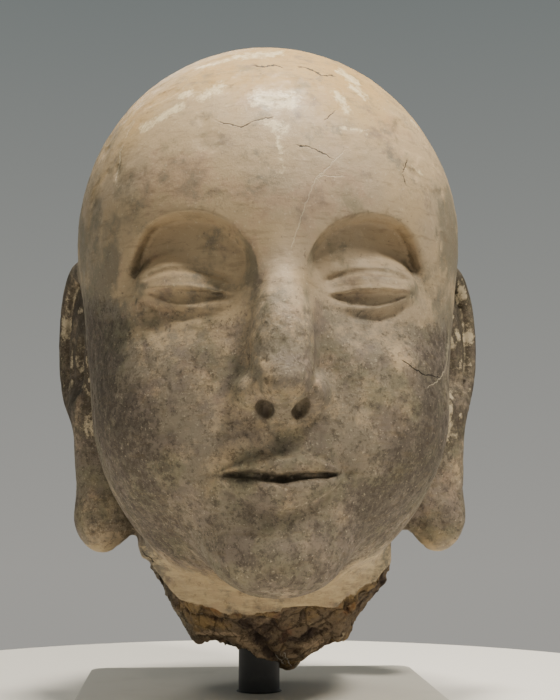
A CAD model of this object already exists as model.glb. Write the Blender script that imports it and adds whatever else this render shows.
"""A carved stone monk's head, broken off at the neck, on a black steel rod with a pale steel foot.

Metres, +Z up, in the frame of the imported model. The face looks along -Y.
"""

import bmesh
import bpy
import numpy as np
from mathutils import Matrix, Vector, noise


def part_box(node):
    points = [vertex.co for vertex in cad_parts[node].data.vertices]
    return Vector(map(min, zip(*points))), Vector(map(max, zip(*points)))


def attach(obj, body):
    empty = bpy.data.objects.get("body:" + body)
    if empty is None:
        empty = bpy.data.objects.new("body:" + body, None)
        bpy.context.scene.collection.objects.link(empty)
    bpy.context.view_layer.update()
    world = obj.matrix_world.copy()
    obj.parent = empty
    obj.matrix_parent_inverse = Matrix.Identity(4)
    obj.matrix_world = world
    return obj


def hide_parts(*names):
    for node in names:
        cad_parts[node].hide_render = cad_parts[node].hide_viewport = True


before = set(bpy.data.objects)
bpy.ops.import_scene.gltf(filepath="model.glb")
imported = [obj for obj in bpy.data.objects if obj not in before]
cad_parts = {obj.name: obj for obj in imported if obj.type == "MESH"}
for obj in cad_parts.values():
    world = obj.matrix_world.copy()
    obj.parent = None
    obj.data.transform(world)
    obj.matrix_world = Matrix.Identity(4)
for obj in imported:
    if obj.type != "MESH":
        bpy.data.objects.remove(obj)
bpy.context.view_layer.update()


# Camera. It stands where the photograph was taken from: about a metre off, lower than the mouth, a little
# to one side and tilted up. The horizon and the rod's place are pixels of the photograph's 560 x 700 frame.
photo_width, photo_height = 560, 700
focal_length_px = 1306
horizon_px = 488
rod_axis_px = 259.5
camera_distance = 1.04
camera_height = 0.169
camera_azimuth = np.radians(-2.9)

camera = bpy.data.objects.new("camera", bpy.data.cameras.new("camera"))
bpy.context.scene.collection.objects.link(camera)
bpy.context.scene.camera = camera
camera.data.lens = camera.data.sensor_width * focal_length_px / photo_height
camera.location = (
    camera_distance * np.sin(camera_azimuth),
    -camera_distance * np.cos(camera_azimuth),
    camera_height,
)
pan = np.arctan((photo_width / 2 - rod_axis_px) / focal_length_px) - camera_azimuth
tilt = np.arctan((horizon_px - photo_height / 2) / focal_length_px)
looking = Vector((np.sin(pan) * np.cos(tilt), np.cos(pan) * np.cos(tilt), np.sin(tilt)))
camera.rotation_euler = looking.to_track_quat("-Z", "Y").to_euler()


# Foot plate. A square of 12 mm mild steel with rounded corners, deburred and sprayed with a matt off-white
# paint, which has dulled and caught faint grey scuffs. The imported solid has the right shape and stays.
def linear(hex_colour):
    """The linear values of an sRGB hex colour, with an alpha of 1."""
    srgb = np.array([int(hex_colour[start:start + 2], 16) for start in (1, 3, 5)]) / 255
    return (*np.where(srgb <= 0.04045, srgb / 12.92, ((srgb + 0.055) / 1.055) ** 2.4), 1)


def add(tree, kind, links=None, out=0, **settings):
    """Adds a node with its settings and a link or value for each socket given, and gives one output."""
    made = tree.nodes.new(kind)
    for name, value in settings.items():
        setattr(made, name, value)
    for socket, value in (links or {}).items():
        if isinstance(value, bpy.types.NodeSocket):
            tree.links.new(value, made.inputs[socket])
        else:
            made.inputs[socket].default_value = value
    return made.outputs[out]


def sprayed_paint():
    """Matt spray paint on steel: even and dull, with a fine orange-peel texture and faint scuffs."""
    paint, scuffed = "#d9d5ca", "#a9a59b"
    scuff_size, peel_size = 0.040, 0.0012
    material = bpy.data.materials.new("matt off-white spray paint")
    material.use_nodes = True
    tree = material.node_tree
    shader = tree.nodes["Principled BSDF"]
    place = add(tree, "ShaderNodeTexCoord", out="Object")
    clouds = add(tree, "ShaderNodeTexNoise", {"Vector": place, "Scale": 1 / scuff_size, "Detail": 8.0})
    links = {0: clouds, 1: 0.56, 2: 0.80, 4: 0.2}
    scuffs = add(tree, "ShaderNodeMapRange", links, interpolation_type="SMOOTHSTEP")
    links = {0: scuffs, 6: linear(paint), 7: linear(scuffed)}
    colour = add(tree, "ShaderNodeMix", links, out=2, data_type="RGBA")
    roughness = add(tree, "ShaderNodeMapRange", {0: clouds, 3: 0.45, 4: 0.65})
    peel = add(tree, "ShaderNodeTexNoise", {"Vector": place, "Scale": 1 / peel_size, "Detail": 1.0})
    bump = add(tree, "ShaderNodeBump", {"Height": peel, "Strength": 0.15, "Distance": 0.0002})
    for socket, value in (("Base Color", colour), ("Roughness", roughness), ("Normal", bump)):
        tree.links.new(value, shader.inputs[socket])
    return material


_, foot_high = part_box("foot_plate")
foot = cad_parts["foot_plate"]
foot.data.materials.clear()
foot.data.materials.append(sprayed_paint())


# Support rod. Round mild steel bar, turned to a small chamfer at each end and painted matt black. It stands
# in the foot's socket, sealed with a thin bead of black filler, and runs up into a hole in the stone.
def turned(name, profile, sides):
    """A round solid from its profile of (radius, height) points, which starts and ends on the axis."""
    shape = bmesh.new()
    points = [shape.verts.new((radius, 0, height)) for radius, height in profile]
    edges = [shape.edges.new(pair) for pair in zip(points, points[1:])]
    bmesh.ops.spin(shape, geom=points + edges, cent=(0, 0, 0), axis=(0, 0, 1), angle=2 * np.pi, steps=sides)
    bmesh.ops.remove_doubles(shape, verts=shape.verts, dist=0.00001)
    bmesh.ops.recalc_face_normals(shape, faces=shape.faces)
    mesh = bpy.data.meshes.new(name)
    shape.to_mesh(mesh)
    shape.free()
    mesh.shade_smooth()
    mesh.set_sharp_from_angle(angle=np.radians(30))
    made = bpy.data.objects.new(name, mesh)
    bpy.context.scene.collection.objects.link(made)
    return made


def black_paint():
    """Matt black paint on steel bar: nearly even, with a faint sheen, greying dust and fine drag marks."""
    black, dusty = "#121213", "#2a2928"
    dust_size, grain_size = 0.012, 0.0008
    material = bpy.data.materials.new("matt black paint on steel")
    material.use_nodes = True
    tree = material.node_tree
    shader = tree.nodes["Principled BSDF"]
    place = add(tree, "ShaderNodeTexCoord", out="Object")
    clouds = add(tree, "ShaderNodeTexNoise", {"Vector": place, "Scale": 1 / dust_size, "Detail": 6.0})
    dust = add(tree, "ShaderNodeMapRange", {0: clouds, 1: 0.45, 2: 0.8}, interpolation_type="SMOOTHSTEP")
    links = {0: dust, 6: linear(black), 7: linear(dusty)}
    colour = add(tree, "ShaderNodeMix", links, out=2, data_type="RGBA")
    roughness = add(tree, "ShaderNodeMapRange", {0: clouds, 3: 0.38, 4: 0.6})
    grain = add(tree, "ShaderNodeTexNoise", {"Vector": place, "Scale": 1 / grain_size, "Detail": 2.0})
    bump = add(tree, "ShaderNodeBump", {"Height": grain, "Strength": 0.2, "Distance": 0.0002})
    for socket, value in (("Base Color", colour), ("Roughness", roughness), ("Normal", bump)):
        tree.links.new(value, shader.inputs[socket])
    return material


rod_low, rod_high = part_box("support_rod")
rod_radius = (rod_high.x - rod_low.x) / 2
rod_chamfer = 0.001
bead_width = 0.0016
bead_gap = 0.0001
bead = [
    (rod_radius + bead_width * (1 - np.sin(turn)), foot_high.z + bead_gap + bead_width * (1 - np.cos(turn)))
    for turn in np.linspace(0, np.pi / 2, 6)
]
rod = turned(
    "black_rod",
    [
        (0, rod_low.z),
        (rod_radius - rod_chamfer, rod_low.z),
        (rod_radius, rod_low.z + rod_chamfer),
        (rod_radius, foot_high.z + bead_gap),
        *bead,
        (rod_radius, rod_high.z - rod_chamfer),
        (rod_radius - rod_chamfer, rod_high.z),
        (0, rod_high.z),
    ],
    sides=96,
)
rod.data.materials.append(black_paint())
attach(rod, "root")
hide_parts("support_rod")


# Head. One block of fine buff limestone, carved over life size in an old temple manner, coated and rubbed
# smooth, and later broken off at the neck. The carving is a field of distances, negative inside the stone,
# over points given as shares of the head's height: x to the side, y to the back, z up from the chin.
head_low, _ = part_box("head")
head_height = 0.437
break_depth = 0.144
head_foot = np.array((0.006, 0.004, head_low.z + break_depth * head_height))
net_cell = 0.0014
most_triangles = 188000
bore_clearance = 0.0006
bore_x, bore_y = -head_foot[:2] / head_height
bore_radius = (rod_radius + bore_clearance) / head_height
bore_top = (rod_high.z + bore_clearance - head_foot[2]) / head_height

eye_x, eye_z = 0.142, 0.497
eye_half_width = 0.070
eye_turn = -0.30
eye_depth = 0.010
mouth_z, mouth_half_width = 0.197, 0.102
nose_base_z = 0.290
break_facets = 36
across_beds = np.array((0.30, 0.10, 0.95))
bed_thickness = 0.016


def ellipsoid(p, centre, radii, turn=0.0):
    """Distance to an ellipsoid, which turn swings about the vertical, in radians."""
    x, y, z = (p[axis] - centre[axis] for axis in range(3))
    if turn:
        x, y = x * np.cos(turn) + y * np.sin(turn), y * np.cos(turn) - x * np.sin(turn)
    rx, ry, rz = radii
    near = np.sqrt((x / rx) ** 2 + (y / ry) ** 2 + (z / rz) ** 2)
    steep = np.sqrt((x / rx**2) ** 2 + (y / ry**2) ** 2 + (z / rz**2) ** 2)
    return near * (near - 1) / np.maximum(steep, 1e-6)


def tapered_bar(p, start, end, start_radius, end_radius):
    """Distance to a round bar between two points, with round ends."""
    along = [e - s for s, e in zip(start, end)]
    share = sum((p[axis] - start[axis]) * along[axis] for axis in range(3)) / sum(a * a for a in along)
    share = np.clip(share, 0, 1)
    apart = sum((p[axis] - start[axis] - share * along[axis]) ** 2 for axis in range(3))
    return np.sqrt(apart) - (start_radius + (end_radius - start_radius) * share)


def join(a, b, blend):
    """The union of two forms, with a fillet about as wide as blend."""
    overlap = np.maximum(blend - np.abs(a - b), 0) / blend
    return np.minimum(a, b) - overlap * overlap * blend / 4


def cut(a, b, blend):
    """Form a without form b."""
    return -join(-a, b, blend)


def ramp(value, low, high):
    """0 below low, 1 above high and a smooth rise between them."""
    share = np.clip((value - low) / (high - low), 0, 1)
    return share * share * (3 - 2 * share)


def bell(value, width):
    return np.exp(-((value / width) ** 2))


def arch(share):
    """Half an ellipse over shares from 0 to 1."""
    return np.sqrt(np.clip(1 - (2 * share - 1) ** 2, 0, 1))


def mirrored(p):
    return np.abs(p[0]), p[1], p[2]


def skull_and_jaw(p):
    d = ellipsoid(p, (0, 0.06, 0.635), (0.342, 0.36, 0.365))
    d = join(d, ellipsoid(p, (0, -0.11, 0.60), (0.320, 0.30, 0.322)), 0.10)
    d = join(d, ellipsoid(p, (0, -0.095, 0.330), (0.312, 0.295, 0.335)), 0.10)
    cheeks = ellipsoid(mirrored(p), (0.125, -0.235, 0.30), (0.140, 0.14, 0.15))
    d = join(d, cheeks, 0.08)
    muzzle = ellipsoid(p, (0, -0.275, 0.215), (0.14, 0.120, 0.12))
    d = join(d, muzzle, 0.09)
    chin = ellipsoid(p, (0, -0.320, 0.070), (0.095, 0.078, 0.062))
    return join(d, chin, 0.09)


def brow_hollows(p):
    """How deep the stone is cut back under each arched brow: sharply above and by the nose, softly below."""
    x, _, z = mirrored(p)
    out = np.sqrt(((x - 0.152) / 0.120) ** 2 + ((z - 0.492) / 0.118) ** 2)
    sharp = ramp(z, 0.43, 0.55) * (1 - 0.8 * ramp(x, 0.19, 0.26))
    depth = 0.035 * (1 - 0.45 * ramp(x, 0.17, 0.27))
    return depth * ramp((1 - out) / (0.80 - 0.70 * sharp), 0, 1) * (p[1] < 0)


def nose(p):
    side = mirrored(p)
    d = tapered_bar(p, (0, -0.372, 0.570), (0, -0.442, 0.360), 0.025, 0.036)
    tip = ellipsoid(p, (0, -0.452, nose_base_z + 0.047), (0.039, 0.043, 0.035))
    d = join(d, tip, 0.02)
    d = join(d, ellipsoid(p, (0, -0.385, 0.385), (0.054, 0.085, 0.120)), 0.03)
    wings = ellipsoid(side, (0.048, -0.405, nose_base_z + 0.034), (0.025, 0.043, 0.029))
    d = join(d, wings, 0.014)
    nostrils = ellipsoid(side, (0.027, -0.428, nose_base_z + 0.007), (0.012, 0.022, 0.015))
    return d, nostrils


def with_eyes(p, d):
    """Domed lids over half-closed eyes. Each eye shows in a shallow, leaf-shaped opening, which is deepest
    under the edge of the upper lid, with a fold above it and a soft line below."""
    x, y, z = mirrored(p)
    lid = ellipsoid((x, y, z), (eye_x, -0.275, eye_z + 0.002), (0.092, 0.087, 0.060), eye_turn)
    out = (x - eye_x) / eye_half_width
    share = np.clip(out, -1, 1)
    level = eye_z - 0.014 + 0.004 * share
    open_top = level + 0.004 * (1 - share**2)
    open_low = level - 0.019 * (1 - share**2)
    opening = ramp(np.minimum(open_top - z, z - open_low), -0.001, 0.002)
    eye = eye_depth * opening * (0.4 + 0.6 * ramp(z - open_low, 0, 0.020))
    edge = 0.004 * bell(z - open_top - 0.005, 0.005)
    fold = 0.006 * bell(z - open_top - 0.024 - 0.010 * (1 - share**2), 0.005)
    pouch = 0.004 * bell(z - open_low + 0.018, 0.008)
    fade = ramp(1.2 - np.abs(out), 0, 0.4)
    blend = 0.014 + 0.040 * ramp(eye_z - z, -0.01, 0.04)
    return join(d, lid, blend) + (eye + (fold + pouch - edge) * fade) * (y < -0.2)


def lips(p):
    """How far the lips stand out, less the depth of the mouth line, its corners and the philtrum."""
    x, y, z = p
    share = np.clip(np.abs(x) / mouth_half_width, 0, 1)
    line = mouth_z - 0.005 * bell(x, 0.022) + 0.003 * share**2
    top = line + 0.001 + 0.040 * (1 - share**1.7) - 0.007 * bell(x, 0.013)
    low = line - 0.001 - 0.050 * (1 - share**2) ** 0.8
    upper = 0.014 * arch((z - line) / (top - line)) * (z > line)
    lower = 0.017 * arch((line - z) / (line - low)) * (z <= line)
    body = (upper + lower) * (1 - share**2) ** 0.6
    groove = 0.007 * bell(z - line, 0.006) * ramp(1 - share, 0, 0.3)
    corners = 0.005 * bell(np.abs(x) - mouth_half_width, 0.014) * bell(z - line, 0.012)
    philtrum = 0.006 * bell(x, 0.012) * ramp(z, top - 0.002, top + 0.01) * ramp(nose_base_z - z, 0, 0.02)
    return (body - groove - corners - philtrum) * (y < -0.2)


def ears(p):
    """Long-lobed ears that lean out from the head, the one on +X further. Each lobe is joined to the jaw by a
    web of stone."""
    further = np.where(p[0] > 0, 1.0, 0.0)
    lean = 0.40 + 0.22 * further
    across, back = np.abs(p[0]) - 0.315, p[1] - 0.03
    u = back * np.cos(lean) + across * np.sin(lean)
    w = across * np.cos(lean) - back * np.sin(lean)
    v = p[2] - 0.40
    q = (u, v, w)
    d = ellipsoid(q, (0.045, 0.050, -0.004), (0.086, 0.132, 0.026))
    rim_out = np.sqrt(((u - 0.045) / 0.082) ** 2 + ((v - 0.052) / 0.130) ** 2)
    rim = np.sqrt(((rim_out - 1) * 0.088) ** 2 + (w - 0.016) ** 2) - 0.016
    d = join(d, cut(rim, np.maximum(u, v + 0.010), 0.02), 0.008)
    d = join(d, tapered_bar(q, (-0.012, 0.150, 0.010), (-0.030, 0.000, 0.014), 0.016, 0.012), 0.014)
    ridge_out = np.sqrt(((u - 0.038) / 0.047) ** 2 + ((v - 0.015) / 0.090) ** 2)
    ridge = np.sqrt(((ridge_out - 1) * 0.052) ** 2 + (w - 0.014) ** 2) - 0.010
    d = join(d, cut(ridge, u - 0.028, 0.02), 0.008)
    bowl = ellipsoid(q, (0.028, -0.002, 0.028), (0.032, 0.064, 0.036))
    d = cut(d, bowl, 0.008)
    d = join(d, tapered_bar(q, (-0.030, 0.075, 0.010), (0.030, 0.022, 0.004), 0.014, 0.008), 0.012)
    d = join(d, ellipsoid(q, (-0.016, -0.010, 0.006), (0.017, 0.030, 0.017)), 0.012)
    q = (u - 0.016 * further, v, w - 0.012 * further)
    lobe = tapered_bar(q, (0.050, -0.06, -0.004), (0.026, -0.275, -0.018), 0.028, 0.038)
    lobe = join(lobe, ellipsoid(q, (0.018, -0.275, -0.024), (0.050, 0.066, 0.050)), 0.02)
    d = join(d, lobe, 0.02)
    web = ellipsoid(mirrored(p), (0.240, 0.050, 0.285), (0.100, 0.050, 0.185))
    return join(d, web, 0.04)


def whole_neck(p):
    """The neck as it was carved, before it broke."""
    nape = ellipsoid(p, (0, 0.13, 0.30), (0.19, 0.17, 0.30))
    column = (np.sqrt((p[0] / 0.235) ** 2 + ((p[1] - 0.06) / 0.225) ** 2) - 1) * 0.2
    return join(np.maximum(column, np.abs(p[2]) - 0.35), nape, 0.12)


def broken_neck(p):
    """The stub of the neck. It ends below in a break: flat facets round a bowl, and shell-shaped scoops."""
    d = whole_neck(p)
    centre, radii = np.array((0.005, 0.05, 0.20)), np.array((0.255, 0.27, 0.20 + break_depth))
    chance = np.random.default_rng(4)
    for number in range(break_facets):
        turn, tilt = chance.uniform(0, 2 * np.pi), chance.uniform(0.2, 1.2) * (number > 0)
        out = np.array((np.sin(tilt) * np.cos(turn), np.sin(tilt) * np.sin(turn), -np.cos(tilt)))
        touch = centre + out * radii**2 / np.linalg.norm(out * radii)
        d = np.maximum(d, sum(out[axis] * (p[axis] - touch[axis]) for axis in range(3)))
        size = chance.uniform(0.05, 0.11)
        scoop = touch + out * 0.8 * size
        apart = np.sqrt(sum((p[axis] - scoop[axis]) ** 2 for axis in range(3)))
        if number % 2:
            d = cut(d, apart - size, 0.002)
    return d


def head_form(p):
    """The whole head, from broken neck to crown."""
    d = join(skull_and_jaw(p), broken_neck(p), 0.03)
    d = d + brow_hollows(p)
    nose_form, nostrils = nose(p)
    d = cut(join(d, nose_form, 0.022), nostrils, 0.006)
    d = with_eyes(p, d)
    return join(d - lips(p), ears(p), 0.012)


def from_bore(p):
    """Distance from the round wall of the hole for the rod, negative inside it."""
    return np.hypot(p[0] - bore_x, p[1] - bore_y) - bore_radius


def bored_head(p):
    return np.maximum(head_form(p), -np.maximum(from_bore(p), p[2] - bore_top))


def sampled(form, axes, coarse_step=4, band=2.4):
    """The form's distance at the points of a grid: exact within a band of so many coarse cells on either
    side of the surface, and from the coarse grid elsewhere."""
    cell = axes[0][1] - axes[0][0]
    coarse_axes = [axis[::coarse_step] for axis in axes]
    coarse = form(np.meshgrid(*coarse_axes, indexing="ij")).astype(np.float32)
    nearest = [
        np.minimum((np.arange(len(axis)) + coarse_step // 2) // coarse_step, len(few) - 1)
        for axis, few in zip(axes, coarse_axes)
    ]
    values = coarse[np.ix_(*nearest)]
    near = np.nonzero(np.abs(values) < band * coarse_step * cell)
    values[near] = form([axis[index] for axis, index in zip(axes, near)])
    return values


def surface_net(values, axes):
    """Points and four-sided faces of the surface where the values cross zero: one point in each cell that it
    passes through, and one face round each edge of the grid that it cuts."""
    inside = values < 0
    strides = np.array((values.shape[1] * values.shape[2], values.shape[2], 1))
    corners, crossings = [], []
    for axis in range(3):
        low, high = [slice(None)] * 3, [slice(None)] * 3
        low[axis], high[axis] = slice(None, -1), slice(1, None)
        start = np.argwhere(inside[tuple(low)] != inside[tuple(high)])
        end = start + np.eye(3, dtype=int)[axis]
        before, after = values[tuple(start.T)], values[tuple(end.T)]
        crossing = start.astype(float)
        crossing[:, axis] += before / (before - after)
        one, two = strides[(axis + 1) % 3], strides[(axis + 2) % 3]
        cell = start @ strides
        around = np.stack((cell, cell - one, cell - one - two, cell - two), axis=1)
        leaving = before >= 0
        around[leaving] = around[leaving, ::-1]
        corners.append(around)
        crossings.append(crossing)
    corners = np.concatenate(corners)
    crossings = np.repeat(np.concatenate(crossings), 4, axis=0)
    _, faces = np.unique(corners, return_inverse=True)
    faces = faces.reshape(corners.shape)
    shares = np.bincount(faces.ravel())
    points = np.stack([np.bincount(faces.ravel(), column) / shares for column in crossings.T], axis=1)
    origin = np.array([axis[0] for axis in axes])
    return origin + points * (axes[0][1] - axes[0][0]), faces


def lumps(points, size, octaves, seed):
    """Fractal noise at each point, about -1 to 1. Size is its largest lump in metres."""
    start = Vector((seed * 17.3, seed * 5.1, seed * 9.7))
    return np.array([noise.fractal(Vector(point) / size + start, 1.0, 2.0, octaves) for point in points])


def scallops(points, size):
    """The shell-shaped hollows of a break, with sharp edges between them: about 0 in the middle of each, and
    1 on its edges. They are long, and slope down towards the middle of the neck from either side."""
    x, y, z = np.abs(points[:, 0]), points[:, 1], points[:, 2]
    bend = 0.5 * lumps(points, 0.045, 2, 11)
    across = (0.80 * x - 0.60 * z) / size + bend
    along = (0.60 * x + 0.80 * z) / size * 0.45 + bend
    return np.array([noise.voronoi(Vector(place))[0][0] for place in zip(across, y / size, along)])


def above_break(p):
    """Height over the ragged line where the neck's carved skin ends: low in the middle, high beside."""
    ragged = 0.005 * np.sin(29 * p[0]) + 0.003 * np.sin(71 * p[0] + 1) + 0.002 * np.sin(163 * p[0] + 2)
    return p[2] + 0.037 - 1.47 * p[0] ** 2 + ragged


def brokenness(p):
    """1 where the surface is torn stone, and 0 where it is carved."""
    cut_through = ramp(-whole_neck(p), 0.001, 0.006) * ramp(0.14 - p[2], 0, 0.03)
    below = ramp(-above_break(p), -0.006, 0.020) * ramp(0.28 - np.abs(p[0]), 0, 0.02)
    return np.maximum(cut_through, below) * ramp(skull_and_jaw(p), -0.002, 0.008)


def lowness(p):
    """0 over the forehead and 1 over the cheeks and jaw, where soot and pits are thick."""
    return ramp(0.58 - p[2], 0, 0.24)


def edges_of(p, out):
    """1 on sharp outer edges and 0 where the surface is flat or hollow."""
    return np.clip(1 + head_form(p - 0.012 * out) / 0.012, 0, 1)


def as_shares(points):
    return ((points - head_foot) / head_height).T


def places_of(mesh):
    places, normals = np.empty(len(mesh.vertices) * 3), np.empty(len(mesh.vertices) * 3)
    mesh.vertices.foreach_get("co", places)
    mesh.vertex_normals.foreach_get("vector", normals)
    return places.reshape(-1, 3), normals.reshape(-1, 3)


def hand_worked(places, p, out):
    """How far the carved skin stands out, in metres. It is softly uneven from hand work, has lost thin
    flakes, is pitted lower down and is chipped along its edges."""
    uneven = 0.0006 * (lumps(places, 0.070, 2, 1) - 1) + 0.00025 * lumps(places, 0.012, 3, 2)
    flakes = 0.0004 * ramp(lumps(places, 0.045, 5, 3), 0.32, 0.36)
    pits = 0.0006 * ramp(lumps(places, 0.0075, 2, 7), 0.30, 0.55) * (0.25 + 0.75 * lowness(p))
    chips = 0.0018 * ramp(lumps(places, 0.018, 3, 8), 0.18, 0.34) * ramp(edges_of(p, out), 0.25, 0.6)
    return uneven - flakes - pits - chips


def torn_stone(places, p):
    """How far the torn stone stands out, in metres. It has lumps, thin beds with ledges between them, large
    and small scallops, sharp creases and gouged hollows, and is drawn in at the sides of the neck."""
    beds = places @ across_beds / bed_thickness + 1.6 * lumps(places, 0.040, 3, 4)
    ledge = ramp(beds - np.floor(beds), 0.80, 0.98)
    offset = np.array([noise.cell(Vector((level * 3.1, 0.5, 0.5))) for level in np.floor(beds)])
    gouged = stroked(in_photo(places), break_hollows) * (places[:, 1] < 0)
    return (
        0.0040 * lumps(places, 0.036, 2, 5)
        + 0.0010 * (offset - 0.5)
        - 0.0010 * ledge
        + 0.0075 * (scallops(places, 0.024) - 0.6)
        + 0.0025 * (scallops(places, 0.009) - 0.6)
        - 0.0024 * np.abs(lumps(places, 0.010, 3, 6))
        - 0.0045 * gouged
        - 0.0060 * ramp(np.abs(p[0]), 0.13, 0.21)
    )


def weathered(places, normals):
    """The places moved in or out by the finish of skin and break, but not in the hole for the rod."""
    p = as_shares(places)
    broken = brokenness(p)
    torn = broken > 0
    rough = np.zeros(len(places))
    rough[torn] = torn_stone(places[torn], p[:, torn])
    moved = (1 - broken) * hand_worked(places, p, normals.T) + broken * rough
    return places + normals * (moved * ramp(from_bore(p), 0.002, 0.012))[:, None]


def carved_mesh():
    margin = 3 * net_cell / head_height
    lowest = (-0.42 - margin, -0.52 - margin, -break_depth - margin)
    highest = (0.42 + margin, 0.43 + margin, 1.01 + margin)
    axes = [np.arange(low, high, net_cell / head_height) for low, high in zip(lowest, highest)]
    points, faces = surface_net(sampled(bored_head, axes), axes)
    mesh = bpy.data.meshes.new("carved_head")
    mesh.from_pydata(head_foot + points * head_height, [], faces.tolist())
    places, normals = places_of(mesh)
    mesh.vertices.foreach_set("co", weathered(places, normals).ravel())
    mesh.update()
    return mesh


def thinned(fine):
    """The carved mesh with fewer faces."""
    work = bpy.data.objects.new("work", fine)
    bpy.context.scene.collection.objects.link(work)
    thinning = work.modifiers.new("fewer faces", "DECIMATE")
    thinning.ratio = most_triangles / (2 * len(fine.polygons))
    bpy.context.view_layer.update()
    evaluated = work.evaluated_get(bpy.context.evaluated_depsgraph_get())
    mesh = bpy.data.meshes.new_from_object(evaluated)
    bpy.data.objects.remove(work)
    mesh.name = "carved_head"
    mesh.shade_smooth()
    mesh.set_sharp_from_angle(angle=np.radians(60))
    return mesh


# The marks that show on the front are strokes through pixels of the photograph, each with its half width in
# pixels. Scratches and cracks are thin lines through pixels.
rubbed_strokes = [
    ((143, 129), (182, 105), 5),
    ((200, 97), (222, 86), 6),
    ((180, 97), (192, 92), 4),
    ((196, 69), (235, 58), 2),
    ((235, 57), (283, 53), 4),
    ((258, 98), (292, 100), 11),
    ((266, 122), (284, 128), 7),
    ((276, 136), (284, 172), 3),
    ((337, 94), (347, 110), 6),
    ((351, 86), (366, 98), 4),
    ((343, 128), (366, 132), 3),
    ((338, 70), (358, 84), 4),
    ((412, 119), (432, 142), 3),
    ((412, 165), (422, 175), 2),
]
soot_strokes = [
    ((112, 410), (158, 535), 46),
    ((370, 520), (425, 450), 40),
    ((98, 335), (104, 420), 34),
    ((434, 345), (432, 460), 24),
]
soot_strength = 1.45
break_hollows = [
    ((203, 616), (215, 625), 4),
    ((256, 632), (270, 634), 8),
    ((220, 619), (247, 629), 2),
    ((247, 629), (265, 654), 2.5),
    ((265, 654), (276, 662), 2.5),
    ((286, 641), (298, 644), 2.5),
    ((298, 644), (316, 636), 2),
]
pale_break_strokes = [
    ((255, 622), (268, 620), 4),
    ((240, 640), (262, 657), 6),
    ((304, 652), (321, 643), 6),
    ((290, 657), (305, 660), 5),
    ((196, 633), (238, 634), 2),
    ((166, 575), (196, 604), 3),
]
rusty_break_strokes = [
    ((170, 584), (190, 600), 6),
    ((206, 606), (220, 612), 5),
    ((226, 650), (238, 657), 6),
    ((346, 612), (356, 604), 5),
]
scratches = [
    [(122, 147), (119, 163), (116, 179)],
    [(134, 121), (127, 135)],
    [(343, 152), (315, 179), (303, 212), (292, 247)],
    [(325, 175), (340, 176)],
    [(428, 387), (438, 381), (443, 373), (447, 361), (449, 330)],
    [(276, 655), (283, 663)],
    [(285, 654), (290, 664)],
]
cracks = [
    [(220, 122), (233, 126), (243, 127), (255, 121), (269, 118)],
    [(257, 66), (264, 67), (272, 65), (282, 68)],
    [(300, 67), (312, 70), (321, 75), (331, 76)],
    [(327, 118), (334, 112)],
    [(300, 146), (313, 148), (329, 157)],
    [(406, 163), (404, 169)],
    [(403, 176), (404, 180)],
    [(143, 552), (147, 556), (152, 560)],
    [(404, 362), (415, 369), (426, 375), (437, 377)],
    [(457, 540), (462, 547)],
    [(76, 532), (79, 544)],
]


def in_photo(places):
    """The pixel of the photograph at which each place shows."""
    turned_round = (places - np.array(camera.location)) @ np.array(camera.rotation_euler.to_matrix())
    scale = focal_length_px / -turned_round[:, 2]
    return np.stack(
        (photo_width / 2 + turned_round[:, 0] * scale, photo_height / 2 - turned_round[:, 1] * scale), axis=1
    )


def to_stroke(pixels, start, end):
    """How far each pixel lies from a stroke, and its signed distance from the stroke's line."""
    start, along = np.array(start, float), np.subtract(end, start).astype(float)
    length = np.linalg.norm(along)
    share = (pixels - start) @ along / length**2
    side = (pixels - start) @ np.array((-along[1], along[0])) / length
    apart = np.linalg.norm(pixels - start - np.clip(share, 0, 1)[:, None] * along, axis=1)
    return apart, side


def to_lines(pixels, lines):
    """The signed distance to the nearest of some thin lines, and how surely that line reaches there."""
    nearest, signed = np.full(len(pixels), 99.0), np.full(len(pixels), 99.0)
    for line in lines:
        for start, end in zip(line, line[1:]):
            apart, side = to_stroke(pixels, start, end)
            closer = apart < nearest
            signed[closer] = side[closer]
            nearest[closer] = apart[closer]
    return np.clip(signed, -9, 9), ramp(9 - nearest, 0, 5) * ramp(2.5 + np.abs(signed) - nearest, 0, 2)


def stroked(pixels, strokes):
    """1 along the middle of each stroke, half at its half width and 0 at twice that."""
    covered = np.zeros(len(pixels))
    for start, end, half_width in strokes:
        apart, _ = to_stroke(pixels, start, end)
        covered = np.maximum(covered, ramp(2 - apart / half_width, 0, 2))
    return covered


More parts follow.
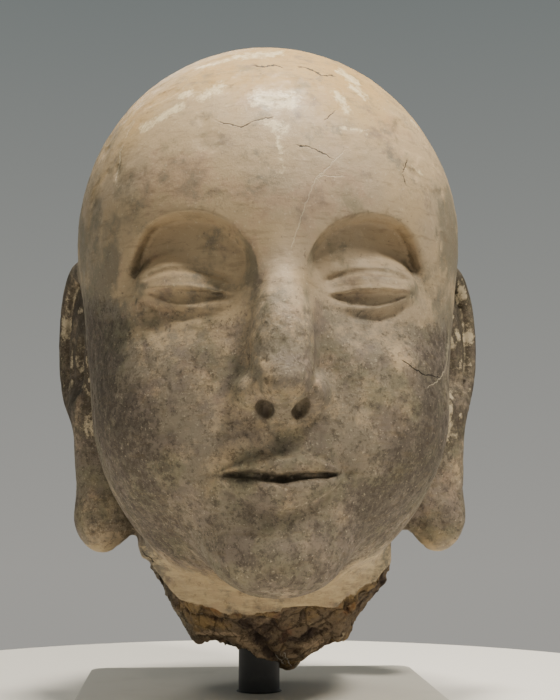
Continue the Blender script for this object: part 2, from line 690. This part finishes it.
def surface_marks(mesh):
    """At each point of the mesh, the values that its colour and roughness depend on."""
    places, normals = places_of(mesh)
    p, out = as_shares(places), normals.T
    towards = np.array(camera.location) - places
    front = ramp((normals * towards).sum(1) / np.linalg.norm(towards, axis=1), 0.02, 0.15)
    pixels = in_photo(places)
    ear = ramp(skull_and_jaw(p), 0.002, 0.010) * ramp(0.02 - ears(p), 0, 0.01)
    upper_ear = ear * ramp(p[2], 0.16, 0.30)
    band = ramp(0.075 - above_break(p), 0, 0.03) * ramp(p[1], -0.26, -0.20) * ramp(0.12 - p[2], 0, 0.06)
    low = 0.75 * lowness(p) + 0.25 * ramp(0.26 - p[2], 0, 0.16)
    soot = np.maximum.reduce((low, upper_ear, soot_strength * front * stroked(pixels, soot_strokes)))
    marks = {
        "hollow": np.clip(1 - head_form(p + 0.030 * out) / 0.030, 0, 1),
        "deep": np.clip(1 - head_form(p + 0.010 * out) / 0.010, 0, 1),
        "proud": edges_of(p, out),
        "broken": brokenness(p),
        "upper_ear": upper_ear,
        "ear_front": upper_ear * ramp(-out[1], 0.15, 0.75),
        "sideways": ramp(np.abs(out[0]), 0.55, 0.95),
        "crown": ramp(p[2], 0.64, 0.92),
        "band": band,
        "sooty": soot - 0.7 * band,
        "rubbed": front * stroked(pixels, rubbed_strokes),
        "gloomy": front * stroked(pixels, break_hollows),
        "bleached": front * stroked(pixels, pale_break_strokes),
        "rusty": front * stroked(pixels, rusty_break_strokes),
    }
    for name, lines in (("crack", cracks), ("scratch", scratches)):
        side, reach = to_lines(pixels, lines)
        marks[name + "_side"] = side
        marks[name + "_reach"] = front * reach
    return marks


# Each pattern in the stone has its name, the size of its patches in metres, its detail and its crispness.
stone_patterns = (
    ("clouds", 0.110, 4.0, 0.50),
    ("tints", 0.050, 7.0, 0.65),
    ("stains", 0.030, 10.0, 0.78),
    ("mottle", 0.0105, 8.0, 0.82),
    ("flecks", 0.0042, 5.0, 0.75),
    ("specks", 0.0024, 3.0, 0.65),
    ("grain", 0.0012, 2.0, 0.60),
    ("hand", 0.007, 4.0, 0.70),
    ("blotches", 0.034, 5.0, 0.62),
    ("shades", 0.026, 6.0, 0.66),
)
streak_size, streak_flatness = 0.020, 5
flake_size, flake_sway = 0.013, 0.018

# A marked pattern has its name, the mark that makes it stronger, its weight and the stone's own pattern.
marked_patterns = (
    ("dirt", "sooty", 0.18, "stains"),
    ("olive", "sooty", 0.12, "blotches"),
    ("plum", "sooty", 0.12, "shades"),
    ("crust", "sooty", 0.13, "mottle"),
    ("speckle", "sooty", 0.11, "flecks"),
    ("gloom", "gloomy", 0.45, "mottle"),
    ("bleaching", "bleached", 0.38, "flecks"),
    ("rust", "rusty", 0.38, "mottle"),
    ("sides", "sideways", 0.18, "tints"),
    ("grime", "hollow", 0.95, "mottle"),
    ("deep grime", "deep", 0.90, "stains"),
    ("wear", "proud", 0.70, "mottle"),
    ("rubbing", "rubbed", 0.36, "flecks"),
    ("ear shade", "upper_ear", 0.40, "stains"),
    ("ear rubbing", "ear_front", 0.30, "stains"),
    ("warmth", "crown", 0.30, "clouds"),
    ("dust", "band", 0.40, "streaks"),
    ("torn", "broken", 1.00, "mottle"),
)

# Each surface is a colour under thin coats. A coat has its colour, the pattern that it lies in, the values of
# that pattern at which it starts and is full, and how much it covers there.
skin_colour = "#b69f7d"
skin_coats = (
    ("#a59784", "clouds", 0.48, 0.62, 0.55),
    ("#b9957a", "tints", 0.52, 0.64, 0.50),
    ("#938768", "stains", 0.50, 0.66, 0.50),
    ("#6d6b5b", "sides", 0.56, 0.72, 0.70),
    ("#bd9858", "warmth", 0.56, 0.80, 0.74),
    ("#7d7465", "dirt", 0.54, 0.68, 0.80),
    ("#757058", "olive", 0.58, 0.72, 0.60),
    ("#71645c", "plum", 0.56, 0.70, 0.60),
    ("#574f45", "crust", 0.59, 0.71, 0.64),
    ("#403830", "speckle", 0.61, 0.70, 0.55),
    ("#cfc0a4", "specks", 0.59, 0.70, 0.45),
    ("#6c5c43", "streaks", 0.52, 0.66, 0.30),
    ("#cdb78f", "dust", 0.84, 1.02, 0.80),
    ("#ecdab0", "rubbing", 0.68, 0.92, 0.85),
    ("#40382c", "ear shade", 0.77, 0.96, 0.82),
    ("#dac8a6", "ear rubbing", 0.79, 0.88, 0.80),
    ("#cfbf9e", "wear", 0.76, 1.02, 0.70),
    ("#e0d1b2", "scratch", 0.2, 1.0, 0.40),
    ("#403729", "grime", 0.90, 1.35, 0.42),
    ("#2f281f", "deep grime", 0.90, 1.35, 0.50),
    ("#2a231b", "crack", 0.1, 0.9, 0.95),
)
break_colour = "#7b6a55"
break_coats = (
    ("#a08455", "tints", 0.50, 0.60, 0.70),
    ("#7c5744", "stains", 0.54, 0.62, 0.60),
    ("#938b7b", "clouds", 0.50, 0.58, 0.65),
    ("#45382d", "mottle", 0.49, 0.62, 0.62),
    ("#b7a37e", "flecks", 0.56, 0.66, 0.50),
    ("#9c6b42", "rust", 0.72, 0.92, 0.55),
    ("#baa283", "bleaching", 0.70, 0.86, 0.72),
    ("#c4b28f", "wear", 0.76, 1.02, 0.75),
    ("#2c2128", "grime", 0.90, 1.30, 0.62),
    ("#33272a", "gloom", 0.80, 1.04, 0.40),
    ("#30251d", "seams", 0.64, 0.78, 0.58),
    ("#d6cfc0", "scratch", 0.2, 1.0, 0.70),
)


def patterns_in_stone(tree):
    """The stone's own patterns, with level streaks, and the seams between the flakes of the torn stone."""
    place = add(tree, "ShaderNodeTexCoord", out="Object")
    patterns = {}
    for number, (name, size, detail, crispness) in enumerate(stone_patterns, start=1):
        links = {"Vector": place, "W": number, "Scale": 1 / size, "Detail": detail, "Roughness": crispness}
        patterns[name] = add(tree, "ShaderNodeTexNoise", links, noise_dimensions="4D")
    flat = add(tree, "ShaderNodeMapping", {"Vector": place, "Scale": (1, 1, streak_flatness)})
    links = {"Vector": flat, "Scale": 1 / streak_size, "Detail": 6.0, "Roughness": 0.7}
    patterns["streaks"] = add(tree, "ShaderNodeTexNoise", links)
    links = {0: flake_sway, 4: place, 5: patterns["mottle"]}
    swaying = add(tree, "ShaderNodeMix", links, out=1, data_type="VECTOR")
    links = {"Vector": swaying, "Scale": 1 / flake_size}
    from_seam = add(tree, "ShaderNodeTexVoronoi", links, feature="DISTANCE_TO_EDGE")
    seams = add(tree, "ShaderNodeMapRange", {0: from_seam, 1: 0.0, 2: 0.10, 3: 0.30, 4: 0.0})
    patterns["seams"] = add(tree, "ShaderNodeMath", {0: seams, 1: patterns["shades"]}, operation="ADD")
    return patterns


def thin_line(tree, side, reach, hand, half_width):
    """1 along a crack or a scratch, which shakes a little from side to side."""
    shake = add(tree, "ShaderNodeMath", {0: hand, 1: 0.5}, operation="SUBTRACT")
    shaken = add(tree, "ShaderNodeMath", {0: shake, 1: 8.0, 2: side}, operation="MULTIPLY_ADD")
    apart = add(tree, "ShaderNodeMath", {0: shaken}, operation="ABSOLUTE")
    line = add(tree, "ShaderNodeMapRange", {0: apart, 1: 0.3 * half_width, 2: half_width, 3: 1.0, 4: 0.0})
    return add(tree, "ShaderNodeMath", {0: line, 1: reach}, operation="MULTIPLY")


def under_coats(tree, patterns, hex_colour, coats):
    """A colour with thin coats over it, each where its pattern is strong."""
    colour = linear(hex_colour)
    for coat, pattern, start, full, cover in coats:
        links = {0: patterns[pattern], 1: start, 2: full, 4: cover}
        where = add(tree, "ShaderNodeMapRange", links, interpolation_type="SMOOTHSTEP")
        links = {0: where, 6: colour, 7: linear(coat)}
        colour = add(tree, "ShaderNodeMix", links, out=2, data_type="RGBA")
    return colour


def fine_relief(tree, patterns, torn):
    """The height of the finest unevenness: grain, pits, cracks and scratches, and seams on the break."""
    height = 0.0
    for pattern, weight in (
        ("grain", 0.30),
        ("specks", 0.70),
        ("flecks", 0.90),
        ("mottle", 1.00),
        ("crack", -2.0),
        ("scratch", -0.5),
    ):
        links = {0: patterns[pattern], 1: weight, 2: height}
        height = add(tree, "ShaderNodeMath", links, operation="MULTIPLY_ADD")
    links = {0: patterns["seams"], 1: 0.62, 2: 0.76, 3: 0.0, 4: -1.0}
    seam_depth = add(tree, "ShaderNodeMapRange", links)
    links = {0: height, 1: 2.2, 2: seam_depth}
    torn_height = add(tree, "ShaderNodeMath", links, operation="MULTIPLY_ADD")
    return add(tree, "ShaderNodeMix", {0: torn, 2: height, 3: torn_height})


def stained_limestone(mark_names):
    """Fine buff limestone with old colour and grime on it. It gives the eye clouds of tan, pink and grey,
    pale streaks where it is rubbed, thick dark mottling lower down and in the hollows, and a dark, earthy
    break."""
    material = bpy.data.materials.new("carved limestone, stained and rubbed")
    material.use_nodes = True
    tree = material.node_tree
    shader = tree.nodes["Principled BSDF"]
    marks = {
        name: add(tree, "ShaderNodeAttribute", out="Fac", attribute_name=name)
        for name in mark_names
    }
    patterns = patterns_in_stone(tree)
    for name, mark_name, weight, pattern in marked_patterns:
        links = {0: marks[mark_name], 1: weight, 2: patterns[pattern]}
        patterns[name] = add(tree, "ShaderNodeMath", links, operation="MULTIPLY_ADD")
    for name, half_width in (("crack", 0.75), ("scratch", 0.8)):
        side, reach = marks[name + "_side"], marks[name + "_reach"]
        patterns[name] = thin_line(tree, side, reach, patterns["hand"], half_width)

    torn = add(tree, "ShaderNodeMapRange", {0: patterns["torn"], 1: 0.85, 2: 1.1})
    skin = under_coats(tree, patterns, skin_colour, skin_coats)
    broken = under_coats(tree, patterns, break_colour, break_coats)
    colour = add(tree, "ShaderNodeMix", {0: torn, 6: skin, 7: broken}, out=2, data_type="RGBA")
    dulled = add(tree, "ShaderNodeMapRange", {0: patterns["crust"], 1: 0.40, 2: 0.66, 3: 0.44, 4: 0.80})
    links = {0: marks["rubbed"], 1: -0.18, 2: dulled}
    polish = add(tree, "ShaderNodeMath", links, operation="MULTIPLY_ADD")
    roughness = add(tree, "ShaderNodeMix", {0: torn, 2: polish, 3: 0.90})
    height = fine_relief(tree, patterns, torn)
    coarseness = add(tree, "ShaderNodeMapRange", {0: marks["sooty"], 1: 0.0, 2: 0.6, 3: 0.35, 4: 0.70})
    coarseness = add(tree, "ShaderNodeMix", {0: torn, 2: coarseness, 3: 1.0})
    bump = add(tree, "ShaderNodeBump", {"Height": height, "Strength": coarseness, "Distance": 0.0009})
    shader.inputs["Specular IOR Level"].default_value = 0.30
    for socket, value in (("Base Color", colour), ("Roughness", roughness), ("Normal", bump)):
        tree.links.new(value, shader.inputs[socket])
    return material


head_mesh = thinned(carved_mesh())
head_marks = surface_marks(head_mesh)
for name, values in head_marks.items():
    attribute = head_mesh.attributes.new(name, "FLOAT", "POINT")
    attribute.data.foreach_set("value", values.astype(np.float32))
head_mesh.materials.clear()
head_mesh.materials.append(stained_limestone(head_marks))
head = bpy.data.objects.new("carved_head", head_mesh)
bpy.context.scene.collection.objects.link(head)
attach(head, "root")
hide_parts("head")


# Floor and light. A plain pale floor under soft lamps: one right above the head, two high in front, of
# which the right one is much stronger, and a faint one behind. The room is grey, and warmer and lighter
# near the horizon.
floor_radius = 0.45
floor_gap = 0.0002
shape = bmesh.new()
bmesh.ops.create_circle(
    shape, cap_ends=True, segments=160, radius=floor_radius, matrix=Matrix.Translation((0, 0, -floor_gap))
)
floor_mesh = bpy.data.meshes.new("floor")
shape.to_mesh(floor_mesh)
shape.free()
floor = bpy.data.objects.new("floor", floor_mesh)
bpy.context.scene.collection.objects.link(floor)
floor_paint = bpy.data.materials.new("plain pale floor")
floor_paint.use_nodes = True
floor_shader = floor_paint.node_tree.nodes["Principled BSDF"]
floor_shader.inputs["Base Color"].default_value = linear("#f3efe6")
floor_shader.inputs["Roughness"].default_value = 0.7
floor_mesh.materials.append(floor_paint)

lit_height = 0.30
for name, place, watts, width in (
    ("right lamp", (0.80, -1.00, 2.05), 50, 0.30),
    ("left lamp", (-0.85, -0.95, 1.95), 4, 0.30),
    ("top lamp", (0.05, -0.10, 2.10), 48, 0.30),
    ("back lamp", (-0.40, 1.40, 1.50), 6, 0.60),
):
    lamp = bpy.data.objects.new(name, bpy.data.lights.new(name, "AREA"))
    bpy.context.scene.collection.objects.link(lamp)
    lamp.data.energy = watts
    lamp.data.size = width
    lamp.data.color = (1.0, 0.93, 0.82)
    lamp.location = place
    lamp.rotation_euler = (Vector((0, 0, lit_height)) - Vector(place)).to_track_quat("-Z", "Y").to_euler()

room = bpy.data.worlds.new("grey room")
bpy.context.scene.world = room
room.use_nodes = True
room_tree = room.node_tree
background = room_tree.nodes["Background"]
way = add(room_tree, "ShaderNodeTexCoord", out="Generated")
rise = add(room_tree, "ShaderNodeSeparateXYZ", {0: way}, out="Z")
share_up = add(room_tree, "ShaderNodeMapRange", {0: rise, 1: -0.06, 2: 0.38})
links = {0: share_up, 6: linear("#a5a39e"), 7: linear("#737978")}
wall_colour = add(room_tree, "ShaderNodeMix", links, out=2, data_type="RGBA")
room_tree.links.new(wall_colour, background.inputs["Color"])
